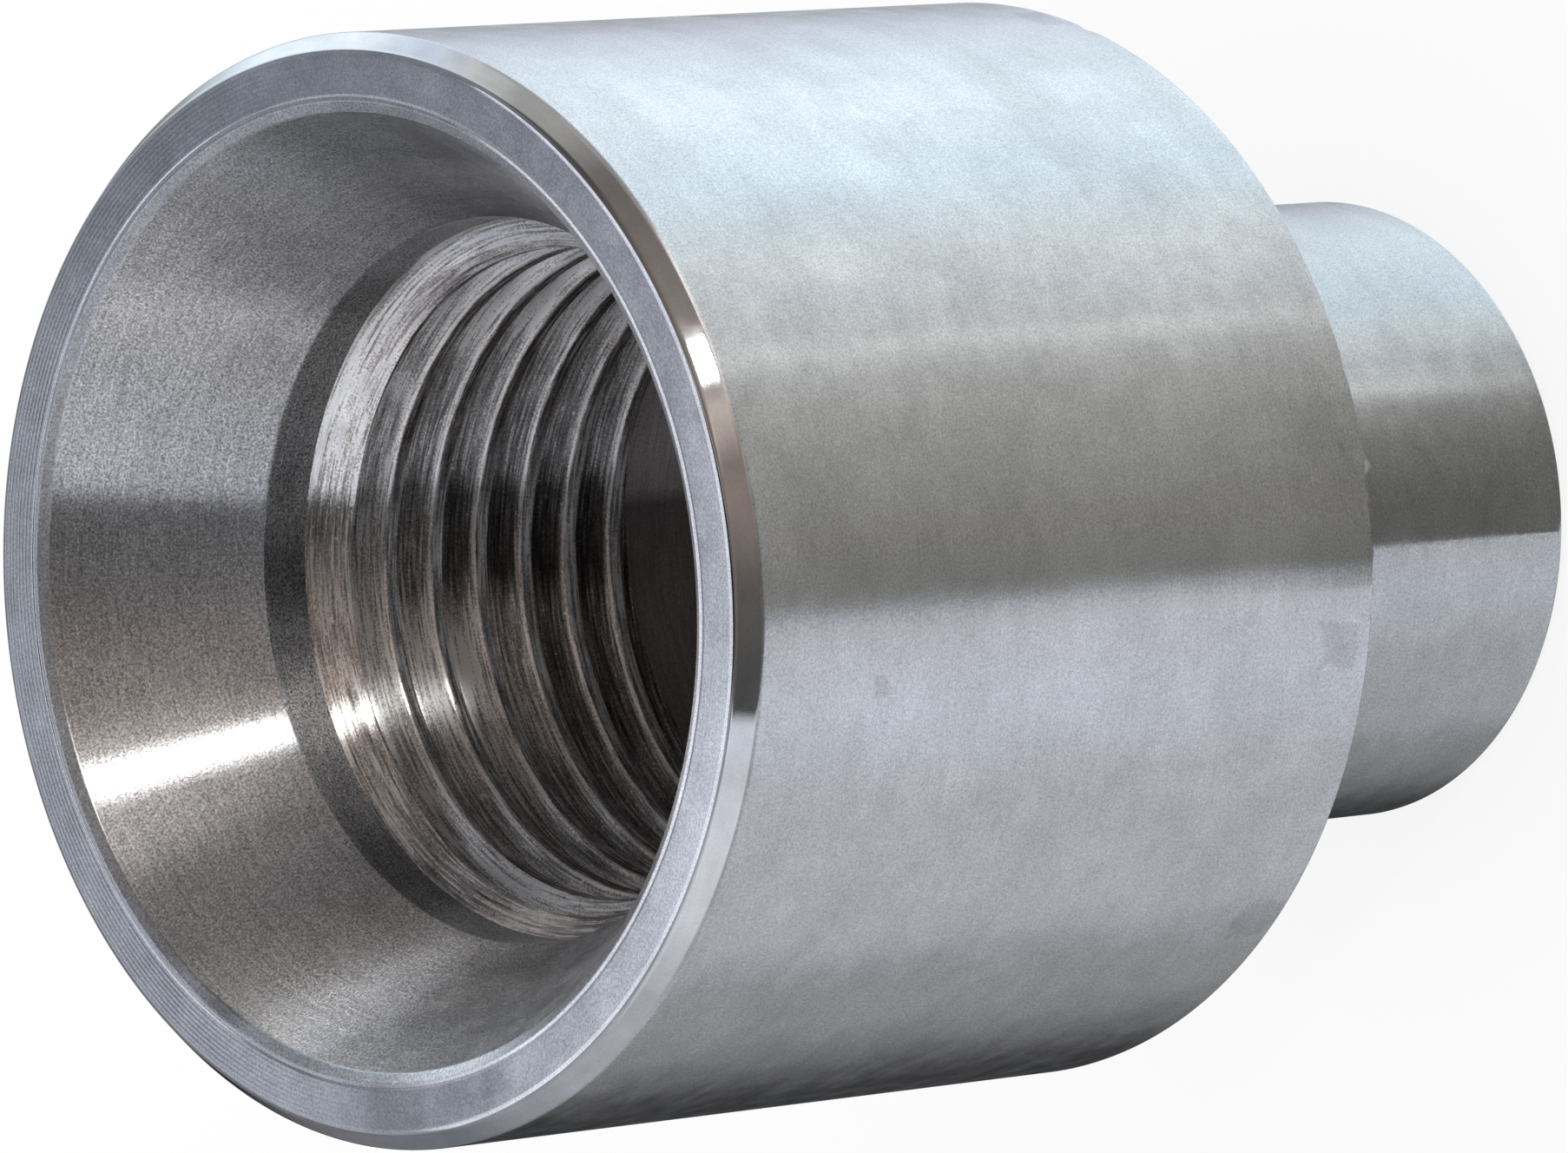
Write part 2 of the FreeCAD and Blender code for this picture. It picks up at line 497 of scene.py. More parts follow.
def add_patterns(tree, at):
    """Adds to what is known of a point the noises that every finish is made of."""
    at.fine = ring_noise(tree, at, per_mm=9.0, round_scale=6.0, detail=2.0)
    at.broad = ring_noise(tree, at, per_mm=1.2, round_scale=3.0, detail=1.0)
    at.grain = cloud(tree, at, per_mm=15.0, detail=1.0)
    at.mottle = cloud(tree, at, per_mm=1.1, detail=2.0)
    at.patches = cloud(tree, at, per_mm=0.35, detail=1.0)


def add_tears(tree, at):
    """Adds the patterns of a torn surface: strands along the tool lines, and bright flecks."""
    at.strands = ring_noise(tree, at, per_mm=9.0, round_scale=5.0, detail=3.0)
    strands = between(tree, at.strands, *TORN_STRANDS)
    at.torn = times(tree, strands, between(tree, at.mottle, *TORN_PATCHES))
    at.flecks = between(tree, cloud(tree, at, per_mm=5.0, detail=2.0), *FLECKS)


def add_depth(tree, at):
    """Adds how far the point lies below the wall of the front bore and its lead-in."""
    wall = scaled(tree, at.level, 1.0, (FRONT_BORE_RADIUS - LEAD_IN_END) * MM)
    wall = calc(tree, "MAXIMUM", wall, FRONT_BORE_RADIUS * MM)
    at.depth = calc(tree, "SUBTRACT", at.radius, wall)


def add_feed(tree, at, spacing, feed_zone, far_side):
    """Adds a wave from -1 to 1 for the even marks that the tool's feed leaves."""
    sway = scaled(tree, at.broad, FEED_SWAY)
    wave = calc(tree, "SINE", scaled(tree, at.path, 2.0 * math.pi / (spacing * MM), sway))
    for place, zone in ((at.y, far_side), (at.level, feed_zone)):
        if zone:
            wave = times(tree, wave, between(tree, place, zone[0] * MM, zone[1] * MM))
    at.wave = wave


def relief(tree, at, line_depth, feed, tear):
    """The small bumps of a finish: its tool lines, its grain, the feed's marks and the tears."""
    height = calc(tree, "ADD", at.fine, scaled(tree, at.grain, GRAIN_RELIEF))
    if feed:
        height = scaled(tree, at.wave, feed[1] / line_depth, height)
    if tear:
        height = scaled(tree, at.torn, tear / line_depth, height)
    bump = tree.nodes.new("ShaderNodeBump")
    bump.inputs["Strength"].default_value = 1.0
    bump.inputs["Distance"].default_value = line_depth * MM
    tree.links.new(height, bump.inputs["Height"])
    return bump.outputs[0]


def uneven_roughness(tree, at, roughness, tear, worn):
    """A roughness close to the given one, with torn places rougher and worn crests of their own."""
    mean_change = (BROAD_ROUGHNESS + MOTTLE_ROUGHNESS) / 2.0
    rough = scaled(tree, at.broad, BROAD_ROUGHNESS, roughness - mean_change)
    rough = scaled(tree, at.mottle, MOTTLE_ROUGHNESS, rough)
    if tear:
        rough = scaled(tree, at.torn, TORN_ROUGHNESS, rough)
    if worn:
        rough = scaled(tree, between(tree, at.depth, *CREST_DEPTHS), worn - roughness, rough)
    return rough


def uneven_shade(tree, at, speckle, lines, feed_tone, tear):
    """What a finish's colour is multiplied by, close to 1 for the most part."""
    shade = varied(tree, at.grain, speckle * 2.0)
    shade = times(tree, shade, varied(tree, at.fine, lines))
    if feed_tone:
        shade = times(tree, shade, scaled(tree, at.wave, feed_tone, 1.0))
    shade = times(tree, shade, varied(tree, at.patches, PATCH_CHANGE))
    shade = times(tree, shade, varied(tree, at.mottle, MOTTLE_CHANGE))
    if tear:
        shade = times(tree, shade, scaled(tree, at.torn, TORN_CHANGE, TORN_BASE))
        shade = times(tree, shade, varied(tree, at.strands, STRAND_CHANGE))
        shade = times(tree, shade, scaled(tree, at.flecks, FLECK_CHANGE, 1.0))
    return shade


def toned(tree, at, shade, tones, ragged=None, share=None):
    """A shade, changed at each of a list of places, as painted light and shade or as smudges.

    Each is (turn, height, half width, half height, change, edge), and edge is how much of the
    half width and half height the change fades over. ragged is noise that breaks the edges up,
    and share is how much of the change to keep, from 0 to 1.
    """
    for turn, height, half_width, half_height, change, edge in tones:
        far_round = calc(tree, "ABSOLUTE", scaled(tree, at.turn, 1.0, -math.radians(turn)))
        far_up = calc(tree, "ABSOLUTE", scaled(tree, at.level, 1.0, -height * MM))
        far_round = scaled(tree, far_round, 1.0 / math.radians(half_width))
        far_up = scaled(tree, far_up, 1.0 / (half_height * MM))
        far = calc(tree, "MAXIMUM", far_round, far_up)
        if ragged is not None:
            nearer = scaled(tree, far, 1.0, -RAGGED_CHANGE / 2.0)
            far = scaled(tree, ragged, RAGGED_CHANGE, nearer)
        inside = between(tree, far, 1.0, 1.0 - edge)
        if share is not None:
            inside = times(tree, inside, share)
        shade = times(tree, shade, scaled(tree, inside, change, 1.0))
    return shade


def layered_colour(tree, at, tone, deep):
    """A tone, with the tones of greater depths laid over it one by one."""
    colour = tree.nodes.new("ShaderNodeRGB").outputs[0]
    colour.default_value = (*tone, 1.0)
    for start, end, deep_tone in deep:
        mix = tree.nodes.new("ShaderNodeMix")
        mix.data_type = "RGBA"
        tree.links.new(between(tree, at.depth, start * MM, end * MM), mix.inputs["Factor"])
        tree.links.new(colour, mix.inputs["A"])
        mix.inputs["B"].default_value = (*deep_tone, 1.0)
        colour = mix.outputs["Result"]
    return colour


def steel(
    name, roughness, spread, line_depth, speckle, tone=(0.62, 0.63, 0.65), lines=0.30, pitch=0.0,
    feed=None, feed_zone=None, far_side=None, feed_tone=0.0, deep=(), worn=0.0, tear=0.0,
    marks=(), shades=(), flanks=(),
):
    """Bright turned steel, with fine tool lines that run round the axis.

    spread, from 0 to 1, is how much wider reflections are across the tool lines than along them.
    line_depth is how deep the lines are, lines how much they change the colour, and speckle how
    much the finest grain does. pitch makes the lines follow a thread.
    feed is (spacing, depth) of the even marks that the tool's feed leaves. They fade in between
    the two heights of feed_zone, or the two places across of far_side. feed_tone is how much
    they change the colour.
    deep is a list of (start, end, tone): the colour changes to that tone between two depths
    below the front bore's wall, and worn is the roughness of the crests at that wall. On the
    thread these tones paint a highlight on the crests' edges and shade in the roots.
    tear is how deep the surface is torn along the tool lines.
    marks is a list of places, as in toned, of faint smudges and painted sheen with ragged
    edges, shades is such a list of painted light and shade with plain soft edges, and flanks is
    such a list of painted light and shade that leaves the crests as they are.
    """
    material = bpy.data.materials.new(name)
    material.use_nodes = True
    tree = material.node_tree
    at = places(tree, pitch)
    add_patterns(tree, at)
    if feed:
        add_feed(tree, at, feed[0], feed_zone, far_side)
    if tear:
        add_tears(tree, at)
    if deep:
        add_depth(tree, at)

    shade = uneven_shade(tree, at, speckle, lines, feed_tone, tear)
    shade = toned(tree, at, shade, marks, ragged=at.mottle)
    shade = toned(tree, at, shade, shades)
    if flanks:
        below_crest = between(tree, at.depth, *FLANK_DEPTHS)
        shade = toned(tree, at, shade, flanks, share=below_crest)
    tint = tree.nodes.new("ShaderNodeVectorMath")
    tint.operation = "SCALE"
    tree.links.new(layered_colour(tree, at, tone, deep), tint.inputs[0])
    tree.links.new(shade, tint.inputs["Scale"])
    tangent = tree.nodes.new("ShaderNodeTangent")
    tangent.direction_type = "RADIAL"
    tangent.axis = "Z"

    shader = tree.nodes["Principled BSDF"]
    shader.inputs["Metallic"].default_value = 1.0
    shader.inputs["Anisotropic"].default_value = spread
    shader.inputs["Anisotropic Rotation"].default_value = 0.25
    rough = uneven_roughness(tree, at, roughness, tear, worn)
    tree.links.new(rough, shader.inputs["Roughness"])
    tree.links.new(tint.outputs[0], shader.inputs["Base Color"])
    tree.links.new(tangent.outputs[0], shader.inputs["Tangent"])
    tree.links.new(relief(tree, at, line_depth, feed, tear), shader.inputs["Normal"])
    return material


# Tones by place, mostly painted light and shade: (turn, height, half width, half height, change,
# edge), as in toned
# Darker smudges and nicks by the shoulder and the rim, brighter patches of painted sheen in the
# side's bright reflection, and a painted highlight on the burr at 82.5 degrees
SMUDGES_AND_SHEEN = [
    (38.0, 33.0, 10.0, 4.5, 0.10, 0.3),
    (30.0, 26.0, 7.0, 3.0, 0.09, 0.3),
    (48.0, 29.0, 6.0, 3.0, 0.06, 0.3),
    (24.0, 36.0, 4.0, 2.5, 0.09, 0.4),
    (33.0, 19.5, 4.0, 1.5, 0.07, 0.4),
    (56.0, 35.0, 3.0, 3.0, 0.05, 0.4),
    (42.0, 21.0, 8.0, 2.5, -0.05, 0.3),
    (101.0, 16.7, 2.6, 0.8, -0.14, 0.2),
    (134.0, 16.4, 3.0, 0.9, -0.12, 0.2),
    (15.0, 16.2, 3.0, 0.6, -0.18, 0.2),
    (100.5, 35.2, 1.4, 0.35, -0.12, 0.4),
    (130.0, 35.2, 2.0, 0.5, -0.08, 0.3),
    (80.5, 16.3, 1.0, 0.22, -0.20, 0.6),
    (82.5, 15.2, 0.8, 0.35, 1.0, 0.4),
]
# Painted shade: a darker reflection on the cone around turn 0
CONE_PAINTED_SHADE = [(0.0, 37.5, 38.0, 12.0, -0.45, 0.75)]
# Painted light and shade on the land: darker reflections, and a painted lamp streak at -110 degrees
LAND_PAINTED_LIGHT = [
    (-146.0, 34.0, 15.0, 3.0, -0.42, 0.6),
    (-110.0, 34.0, 10.0, 3.0, 0.65, 0.8),
    (-89.0, 34.0, 9.0, 3.0, -0.45, 0.7),
    (-38.0, 34.0, 8.0, 3.0, -0.25, 0.7),
]
# Painted light: a glow on the wall of the relief below the front thread, at -49 degrees
BORE_PAINTED_LIGHT = [(-49.0, 19.4, 34.0, 2.25, 1.6, 0.08)]
# Painted light and shade on the ring: darker at the bottom, lighter towards 115 and 153 degrees
FACE_PAINTED_LIGHT = [
    (180.0, 40.5, 9.0, 1.0, -0.25, 0.8),
    (-180.0, 40.5, 9.0, 1.0, -0.25, 0.8),
    (153.0, 40.5, 9.0, 1.0, 0.20, 0.8),
    (115.0, 40.5, 22.0, 1.0, 0.12, 0.6),
]
# Painted highlights on the mouth's bevel at 92 and 166 degrees, and painted shade at -25 and -150
BEVEL_PAINTED_LIGHT = [
    (166.0, 40.3, 13.0, 1.0, 0.60, 0.8),
    (92.0, 40.3, 34.0, 1.0, 0.80, 0.6),
    (-25.0, 40.3, 14.0, 1.0, -0.22, 0.7),
    (-150.0, 40.3, 6.0, 1.0, -0.40, 0.8),
]
# Painted light and shade on the lead-in of the front thread
LEAD_IN_PAINTED_LIGHT = [
    (-151.0, 32.9, 13.0, 1.0, -0.40, 0.5),
    (-104.0, 32.9, 8.0, 1.0, -0.15, 0.5),
    (-80.0, 32.9, 5.5, 1.0, -0.36, 0.6),
    (-59.0, 32.9, 17.0, 1.0, 0.24, 0.5),
]
# Painted light and shade on the thread's flanks: darker reflections, painted glints near -106 degrees
# and lighter flanks near -30
FLANK_PAINTED_LIGHT = [
    (-63.0, 25.5, 17.0, 6.5, -0.42, 0.45),
    (-85.0, 25.0, 13.0, 6.2, -0.72, 0.50),
    (-108.0, 21.5, 32.0, 6.0, -0.72, 0.55),
    (-106.0, 28.5, 12.0, 5.5, 0.45, 0.80),
    (-150.0, 25.0, 22.0, 6.5, -0.45, 0.60),
    (-30.0, 26.0, 18.0, 6.5, 0.60, 0.50),
]
# Painted highlight: a bright streak down the boss at 64.5 degrees
BOSS_PAINTED_HIGHLIGHT = [(64.5, 8.0, 4.5, 9.0, 0.32, 0.9)]

# Tones of the front thread by depth: (start, end, tone): a painted highlight at the crests'
# edges, the flanks' tone, and painted shade deep in the roots
DEPTH_PAINTED_LIGHT = [
    (0.005, 0.03, (0.96, 0.92, 0.88)),
    (0.08, 0.14, (0.75, 0.735, 0.72)),
    (0.90, 0.97, (0.06, 0.055, 0.05)),
]


def dress(body):
    """Gives the part its finishes, in the order of FINISHES."""
    made = {
        "side": steel(
            "steel_side", roughness=0.17, spread=1.0, line_depth=0.0006, speckle=0.44, lines=0.18,
            feed=(0.17, 0.0004), feed_zone=(26.0, 16.0), marks=SMUDGES_AND_SHEEN,
        ),
        "rim": steel("steel_rim", roughness=0.066, spread=0.0, line_depth=0.0001, speckle=0.10),
        "face": steel(
            "steel_face", roughness=0.14, spread=0.4, line_depth=0.0006, speckle=0.45, lines=0.2,
            feed=(0.145, 0.0024), far_side=(0.0, 9.0), feed_tone=0.13, shades=FACE_PAINTED_LIGHT,
        ),
        "cone": steel(
            "steel_cone", roughness=0.26, spread=1.0, line_depth=0.0008, speckle=1.15, lines=0.7,
            tone=(0.585, 0.585, 0.59), feed=(0.12, 0.0004), shades=CONE_PAINTED_SHADE,
        ),
        "land": steel(
            "steel_land", roughness=0.48, spread=0.8, line_depth=0.0020, speckle=1.50, lines=0.8,
            tone=(0.43, 0.43, 0.43), shades=LAND_PAINTED_LIGHT,
        ),
        "thread": steel(
            "steel_thread", roughness=0.32, spread=1.0, line_depth=0.0010, speckle=1.00, lines=1.4,
            tone=(0.74, 0.71, 0.685), pitch=FRONT_PITCH, deep=DEPTH_PAINTED_LIGHT, worn=0.24, tear=0.0018,
            shades=LEAD_IN_PAINTED_LIGHT, flanks=FLANK_PAINTED_LIGHT,
        ),
        "bore": steel(
            "steel_bore", roughness=0.34, spread=0.8, line_depth=0.0015, speckle=0.50, lines=0.9,
            tone=(0.36, 0.34, 0.34), shades=BORE_PAINTED_LIGHT,
        ),
        "rear": steel(
            "steel_rear", roughness=0.30, spread=0.8, line_depth=0.0015, speckle=0.50,
            tone=(0.56, 0.56, 0.57),
        ),
        "boss": steel(
            "steel_boss", roughness=0.18, spread=1.0, line_depth=0.0006, speckle=0.44, lines=0.18,
            tone=(0.53, 0.54, 0.555), feed=(0.15, 0.0002), shades=BOSS_PAINTED_HIGHLIGHT,
        ),
        "bevel": steel(
            "steel_bevel", roughness=0.32, spread=0.3, line_depth=0.0015, speckle=0.80,
            tone=(0.51, 0.515, 0.53), shades=BEVEL_PAINTED_LIGHT,
        ),
    }
    for name in FINISHES:
        body.data.materials.append(made[name])


# Surroundings that the steel reflects, from low to high. Each stop is (turn, colour).
LOW_STOPS = [
    (-180.0, (0.47, 0.47, 0.48)),
    (-166.0, (0.37, 0.37, 0.38)),
    (-150.0, (0.38, 0.38, 0.38)),
    (-138.0, (0.24, 0.24, 0.24)),
    (-120.0, (0.03, 0.03, 0.03)),
    (-92.0, (0.015, 0.015, 0.015)),
    (-80.0, (0.20, 0.20, 0.22)),
    (-66.0, (0.40, 0.41, 0.42)),
    (-46.0, (0.86, 0.93, 1.06)),
    (-26.0, (1.12, 1.29, 1.39)),
    (-6.0, (1.18, 1.34, 1.44)),
    (14.0, (1.04, 1.22, 1.33)),
    (34.0, (0.90, 0.97, 0.98)),
    (51.0, (0.68, 0.69, 0.69)),
    (54.5, (0.90, 0.90, 0.87)),
    (58.0, (0.60, 0.60, 0.58)),
    (74.0, (0.44, 0.44, 0.40)),
    (94.0, (0.33, 0.32, 0.30)),
    (109.3, (0.25, 0.25, 0.23)),
    (110.0, (0.72, 0.73, 0.78)),
    (133.0, (0.80, 0.82, 0.90)),
    (153.0, (0.61, 0.62, 0.65)),
]

MIDDLE_STOPS = [
    (-180.0, (0.56, 0.56, 0.59)),
    (-156.0, (0.44, 0.44, 0.47)),
    (-142.0, (0.22, 0.23, 0.25)),
    (-115.0, (0.22, 0.22, 0.24)),
    (-85.0, (0.28, 0.28, 0.29)),
    (-72.0, (0.45, 0.48, 0.54)),
    (-66.0, (0.90, 1.02, 1.12)),
    (-53.0, (1.26, 1.41, 1.50)),
    (-42.0, (1.26, 1.38, 1.48)),
    (-32.0, (0.84, 0.95, 1.10)),
    (-24.0, (0.84, 0.84, 0.83)),
    (-15.0, (0.50, 0.50, 0.48)),
    (-4.0, (0.50, 0.48, 0.46)),
    (7.0, (0.39, 0.37, 0.36)),
    (22.0, (0.46, 0.43, 0.41)),
    (34.0, (1.50, 1.45, 1.40)),
    (44.0, (1.12, 1.06, 1.01)),
    (54.0, (0.80, 0.76, 0.72)),
    (60.0, (0.50, 0.46, 0.44)),
    (87.0, (0.16, 0.15, 0.145)),
    (108.8, (0.13, 0.13, 0.13)),
    (110.4, (0.52, 0.53, 0.56)),
    (141.0, (0.45, 0.46, 0.49)),
    (160.0, (0.52, 0.52, 0.55)),
]

HIGH_STOPS = [
    (-180.0, (0.52, 0.52, 0.56)),
    (-150.0, (0.38, 0.39, 0.44)),
    (-105.0, (0.34, 0.36, 0.42)),
    (-60.0, (0.27, 0.29, 0.32)),
    (-32.0, (0.26, 0.27, 0.30)),
    (-20.0, (0.12, 0.11, 0.10)),
    (-4.0, (0.10, 0.09, 0.085)),
    (6.0, (0.17, 0.14, 0.13)),
    (32.0, (0.34, 0.29, 0.255)),
    (46.0, (0.50, 0.43, 0.38)),
    (50.0, (0.84, 0.72, 0.64)),
    (55.0, (0.60, 0.50, 0.45)),
    (60.0, (0.32, 0.26, 0.23)),
    (68.0, (0.33, 0.26, 0.23)),
    (85.0, (0.14, 0.13, 0.12)),
    (109.0, (0.09, 0.09, 0.09)),
    (110.2, (0.86, 0.88, 0.96)),
    (140.0, (0.90, 0.91, 0.96)),
    (158.0, (0.88, 0.89, 0.94)),
    (172.0, (0.72, 0.73, 0.78)),
]

TOP_STOPS = [
    (-180.0, (0.42, 0.43, 0.47)),
    (-155.0, (0.36, 0.37, 0.41)),
    (-105.0, (0.13, 0.14, 0.165)),
    (-40.0, (0.12, 0.125, 0.14)),
    (-10.0, (0.12, 0.10, 0.09)),
    (20.0, (0.26, 0.21, 0.19)),
    (45.0, (0.32, 0.25, 0.22)),
    (80.0, (0.24, 0.20, 0.19)),
    (109.0, (0.12, 0.12, 0.12)),
    (111.0, (0.95, 0.97, 1.05)),
    (150.0, (0.62, 0.64, 0.69)),
]

OVERHEAD_STOPS = [
    (-180.0, (0.46, 0.47, 0.50)),
    (-150.0, (0.40, 0.41, 0.44)),
    (-115.0, (0.20, 0.19, 0.19)),
    (0.0, (0.17, 0.16, 0.15)),
    (110.0, (0.16, 0.15, 0.15)),
    (135.0, (0.24, 0.24, 0.25)),
    (155.0, (0.44, 0.45, 0.48)),
]

APEX_STOPS = [
    (-180.0, (0.52, 0.53, 0.56)),
    (-120.0, (0.40, 0.40, 0.42)),
    (-60.0, (0.30, 0.28, 0.26)),
    (0.0, (0.52, 0.49, 0.46)),
    (40.0, (0.56, 0.53, 0.50)),
    (75.0, (0.12, 0.12, 0.12)),
    (118.0, (0.06, 0.06, 0.06)),
    (126.0, (0.50, 0.51, 0.54)),
]

ZENITH_STOPS = [
    (-180.0, (0.020, 0.019, 0.020)),
]

# Each level takes over from the one below it between two heights of the direction, from -1 to 1
STUDIO_LEVELS = [
    (MIDDLE_STOPS, -0.58, -0.30),
    (HIGH_STOPS, 0.20, 0.38),
    (TOP_STOPS, 0.58, 0.80),
    (OVERHEAD_STOPS, 0.80, 0.90),
    (APEX_STOPS, 0.93, 0.955),
    (ZENITH_STOPS, 0.97, 0.985),
]
STUDIO_SLANT = 14.6


def ramp(tree, factor, stops):
    """A colour ramp. Each stop is a turn from -180 to 180 and a colour."""
    node = tree.nodes.new("ShaderNodeValToRGB")
    node.color_ramp.interpolation = "LINEAR"
    elements = node.color_ramp.elements
    while len(elements) > 1:
        elements.remove(elements[-1])
    for index, (turn, colour) in enumerate(stops):
        place = turn / 360.0 + 0.5
        element = elements[0] if index == 0 else elements.new(place)
        element.position = place
        element.color = (*colour, 1.0)
    tree.links.new(factor, node.inputs[0])
    return node.outputs[0]


def studio_colour(tree):
    """The colour of the surroundings in each direction. The stops lean over with the height."""
    direction = tree.nodes.new("ShaderNodeTexCoord").outputs["Generated"]
    split = tree.nodes.new("ShaderNodeSeparateXYZ")
    tree.links.new(direction, split.inputs[0])
    x, y, z = split.outputs
    turn = calc(tree, "ARCTAN2", times(tree, y, -1.0), x)
    place = scaled(tree, turn, 1.0 / (2.0 * math.pi), 0.5)
    slant = scaled(tree, z, -STUDIO_SLANT / 360.0, place)
    colour = ramp(tree, slant, LOW_STOPS)
    for stops, start, end in STUDIO_LEVELS:
        height = tree.nodes.new("ShaderNodeMapRange")
        height.interpolation_type = "SMOOTHSTEP"
        height.inputs["From Min"].default_value = start
        height.inputs["From Max"].default_value = end
        tree.links.new(z, height.inputs["Value"])
        mix = tree.nodes.new("ShaderNodeMix")
        mix.data_type = "RGBA"
        tree.links.new(height.outputs[0], mix.inputs["Factor"])
        tree.links.new(colour, mix.inputs["A"])
        tree.links.new(ramp(tree, slant, stops), mix.inputs["B"])
        colour = mix.outputs["Result"]
    return colour


def build_world():
    """White surroundings for the camera, and a soft studio with darker sides in reflections."""
    world = bpy.data.worlds.new("studio")
    bpy.context.scene.world = world
    world.use_nodes = True
    tree = world.node_tree
    tree.nodes.clear()
    studio = tree.nodes.new("ShaderNodeBackground")
    tree.links.new(studio_colour(tree), studio.inputs["Color"])
    plain = tree.nodes.new("ShaderNodeBackground")
    plain.inputs["Color"].default_value = (1.0, 1.0, 1.0, 1.0)
    path = tree.nodes.new("ShaderNodeLightPath")
    shiny = calc(tree, "MAXIMUM", path.outputs["Is Glossy Ray"], path.outputs["Is Transmission Ray"])
    choose = tree.nodes.new("ShaderNodeMixShader")
    tree.links.new(shiny, choose.inputs[0])
    tree.links.new(plain.outputs[0], choose.inputs[1])
    tree.links.new(studio.outputs[0], choose.inputs[2])
    out = tree.nodes.new("ShaderNodeOutputWorld")
    tree.links.new(choose.outputs[0], out.inputs[0])


# Floor, in metres, and how much of it is a white glow where it is seen
FLOOR_REACH = 3.0
FLOOR_GREY = 0.95
FLOOR_GLOW = 0.82


def build_floor():
    """A plain pale floor under the part."""
    mesh = bpy.data.meshes.new("floor")
    signs = [(-1, -1), (1, -1), (1, 1), (-1, 1)]
    mesh.from_pydata([(x * FLOOR_REACH, y * FLOOR_REACH, 0.0) for x, y in signs], [], [range(4)])
    floor = bpy.data.objects.new("floor", mesh)
    bpy.context.scene.collection.objects.link(floor)
    material = bpy.data.materials.new("floor_white")
    material.use_nodes = True
    tree = material.node_tree
    shader = tree.nodes["Principled BSDF"]
    shader.inputs["Base Color"].default_value = (FLOOR_GREY, FLOOR_GREY, FLOOR_GREY, 1.0)
    shader.inputs["Roughness"].default_value = 1.0
    shader.inputs["Specular IOR Level"].default_value = 0.0
    glow = tree.nodes.new("ShaderNodeEmission")
    path = tree.nodes.new("ShaderNodeLightPath")
    seen = calc(tree, "MAXIMUM", path.outputs["Is Camera Ray"], path.outputs["Is Glossy Ray"])
    seen = calc(tree, "MAXIMUM", seen, path.outputs["Is Transmission Ray"])
    mix = tree.nodes.new("ShaderNodeMixShader")
    tree.links.new(times(tree, seen, FLOOR_GLOW), mix.inputs[0])
    tree.links.new(shader.outputs[0], mix.inputs[1])
    tree.links.new(glow.outputs[0], mix.inputs[2])
    tree.links.new(mix.outputs[0], tree.nodes["Material Output"].inputs[0])
    mesh.materials.append(material)
    floor.visible_glossy = False


# Upright cards stand at one place across, and the lying one just above the floor
CARD_ACROSS = 40.0
CARD_LIFT = 0.1


def upright(corners):
    """The corners of an upright card, from each one's place along the floor and its height."""
    return [(x, CARD_ACROSS, height) for x, height in corners]


def lying(corners):
    """The corners of a lying card, from each one's distance and turn about the axis."""
    places_on_floor = []
    for radius, turn in corners:
        angle = math.radians(turn)
        places_on_floor.append((radius * math.cos(angle), -radius * math.sin(angle), CARD_LIFT))
    return places_on_floor


def build_card(name, corners, colour, fade=None):
    """A plain card of the studio that is seen only in the part's reflections.

    fade is (start, end): the card comes in softly between two turns about the axis.
    """
    mesh = bpy.data.meshes.new(name)
    mesh.from_pydata([Vector(corner) * MM for corner in corners], [], [range(len(corners))])
    card = bpy.data.objects.new(name, mesh)
    bpy.context.scene.collection.objects.link(card)
    material = bpy.data.materials.new(name)
    material.use_nodes = True
    tree = material.node_tree
    tree.nodes.remove(tree.nodes["Principled BSDF"])
    glow = tree.nodes.new("ShaderNodeEmission")
    glow.inputs["Color"].default_value = (*colour, 1.0)
    shown = glow.outputs[0]
    if fade:
        split = tree.nodes.new("ShaderNodeSeparateXYZ")
        tree.links.new(tree.nodes.new("ShaderNodeTexCoord").outputs["Object"], split.inputs[0])
        x, y = split.outputs[:2]
        turn = calc(tree, "ARCTAN2", times(tree, y, -1.0), x)
        mix = tree.nodes.new("ShaderNodeMixShader")
        share = between(tree, turn, math.radians(fade[0]), math.radians(fade[1]))
        tree.links.new(share, mix.inputs[0])
        tree.links.new(tree.nodes.new("ShaderNodeBsdfTransparent").outputs[0], mix.inputs[1])
        tree.links.new(shown, mix.inputs[2])
        shown = mix.outputs[0]
    tree.links.new(shown, tree.nodes["Material Output"].inputs[0])
    mesh.materials.append(material)
    card.visible_camera = False
    card.visible_diffuse = False
    card.visible_shadow = False


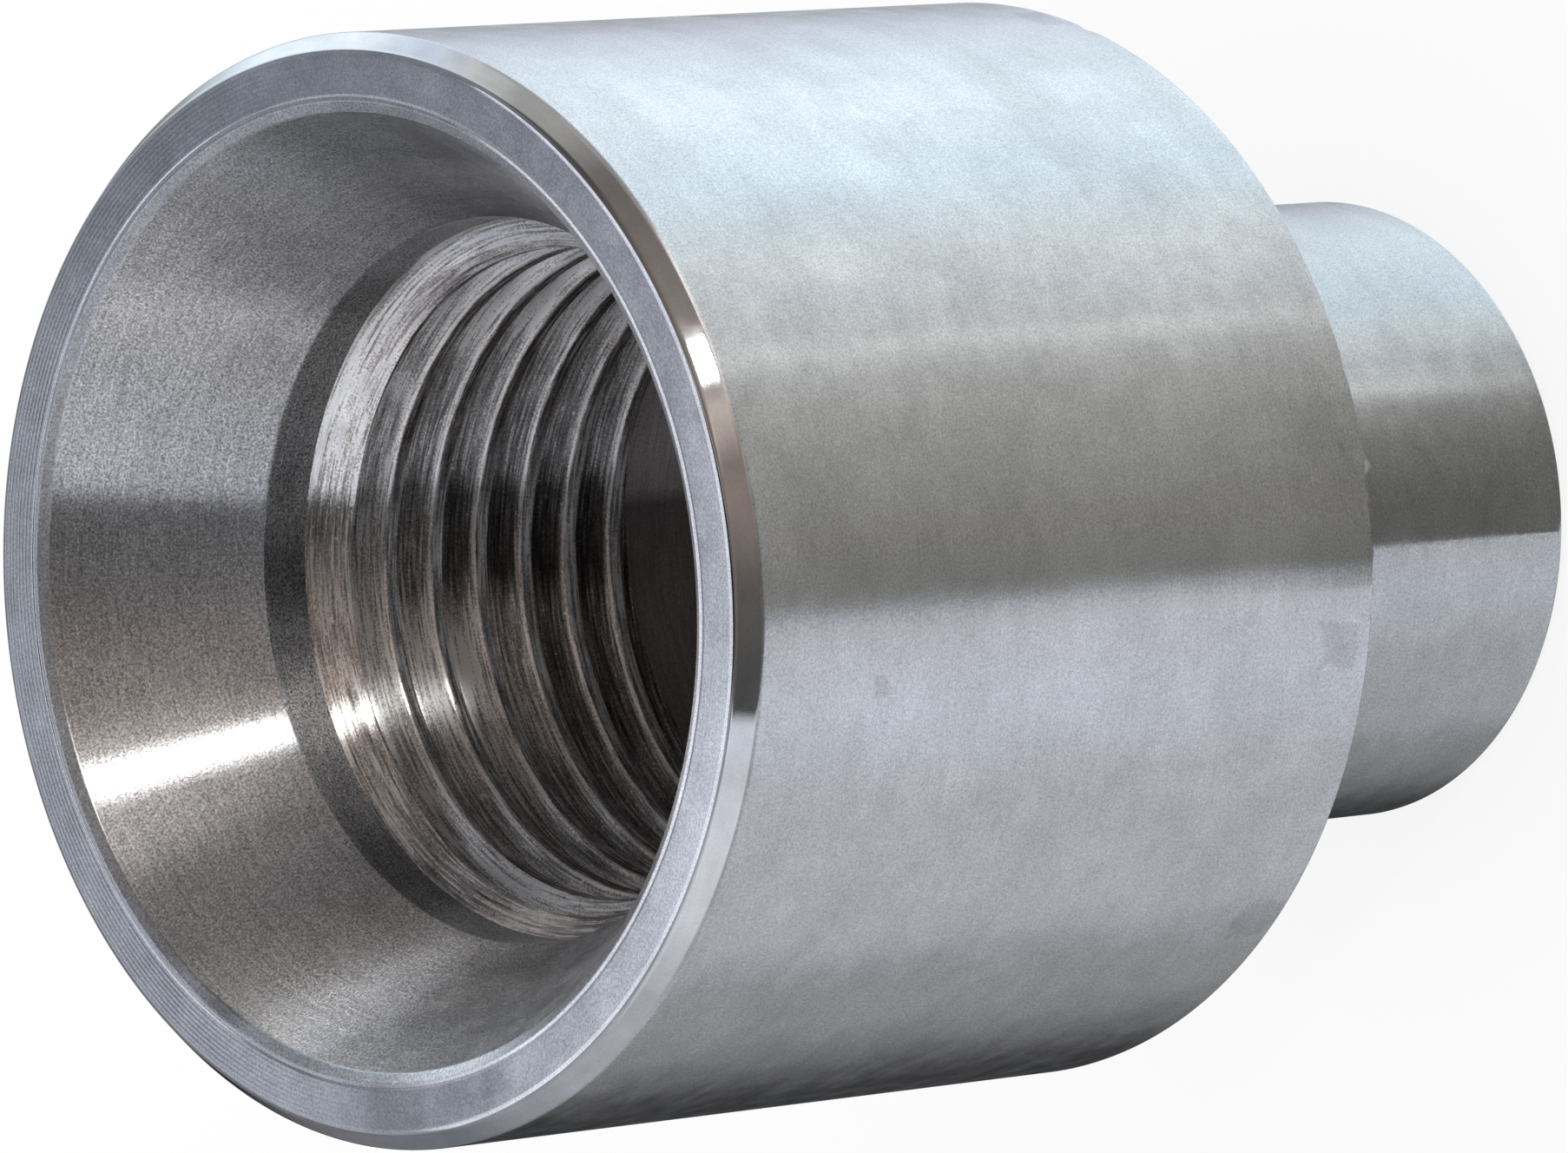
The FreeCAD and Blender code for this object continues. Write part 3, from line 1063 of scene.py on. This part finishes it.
def build_cards():
    """A pale and a grey card that stand on the far side, and a dark one that lies on the floor as a
    painted shadow in the reflections.
    """
    build_card(
        "card_pale",
        upright([(-60.0, 70.9), (60.0, 102.1), (60.0, 240.0), (-60.0, 240.0)]),
        (1.02, 1.05, 1.15),
    )
    build_card(
        "card_far",
        upright([(-40.0, 58.0), (8.0, 58.0), (8.0, 71.0), (-14.0, 76.8), (-40.0, 79.0)]),
        (0.52, 0.54, 0.61),
    )
    # Painted shadow: a dark sheet on the floor that the boss and the side reflect near the foot
    build_card(
        "card_painted_shadow",
        lying([(9.6, 50.0), (30.0, 50.0), (34.0, 76.0), (30.0, 99.5), (9.6, 94.5)]),
        (0.18, 0.175, 0.165), fade=(50.0, 88.0),
    )


# Lamp, in metres and watts: it shines on the middle of the part, from this direction
LAMP_DIRECTION = (0.583, -0.660, 0.474)
LAMP_DISTANCE = 0.55
LAMP_AIM = (0.0, 0.0, 0.02)
LAMP_SIZE = 0.052
LAMP_POWER = 0.46


def build_lamp():
    """One small square lamp, above and behind the camera's shoulder."""
    away = Vector(LAMP_DIRECTION).normalized()
    data = bpy.data.lights.new("lamp", "AREA")
    data.shape = "SQUARE"
    data.size = LAMP_SIZE
    data.energy = LAMP_POWER
    lamp = bpy.data.objects.new("lamp", data)
    lamp.location = away * LAMP_DISTANCE + Vector(LAMP_AIM)
    lamp.rotation_mode = "QUATERNION"
    lamp.rotation_quaternion = away.to_track_quat("Z", "Y")
    bpy.context.scene.collection.objects.link(lamp)


# Camera: its place, the way it looks and its right-hand side
CAMERA_PLACE = (16.777, -285.449, 297.754)
CAMERA_FORWARD = (-0.04383, 0.7207, -0.69186)
CAMERA_RIGHT = (-0.04556, -0.69325, -0.71926)
CAMERA_SENSOR = 36.0
CAMERA_LENS = 309.426
CAMERA_CLIP_START = 10.0


def build_camera():
    """The photograph's view: into the mouth from one side, with the axis close to level."""
    data = bpy.data.cameras.new("camera")
    data.sensor_width = CAMERA_SENSOR
    data.lens = CAMERA_LENS
    data.clip_start = CAMERA_CLIP_START * MM
    camera = bpy.data.objects.new("camera", data)
    forward = Vector(CAMERA_FORWARD).normalized()
    up = Vector(CAMERA_RIGHT).normalized().cross(forward).normalized()
    right = forward.cross(up)
    turned = Matrix((right, up, -forward)).transposed().to_4x4()
    turned.translation = Vector(CAMERA_PLACE) * MM
    camera.matrix_world = turned
    bpy.context.scene.collection.objects.link(camera)
    bpy.context.scene.camera = camera


body = build_body()
dress(body)
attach(body, "root")
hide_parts("adapter_body")

build_world()
build_floor()
build_cards()
build_lamp()
build_camera()
bpy.context.scene.view_settings.view_transform = "Standard"
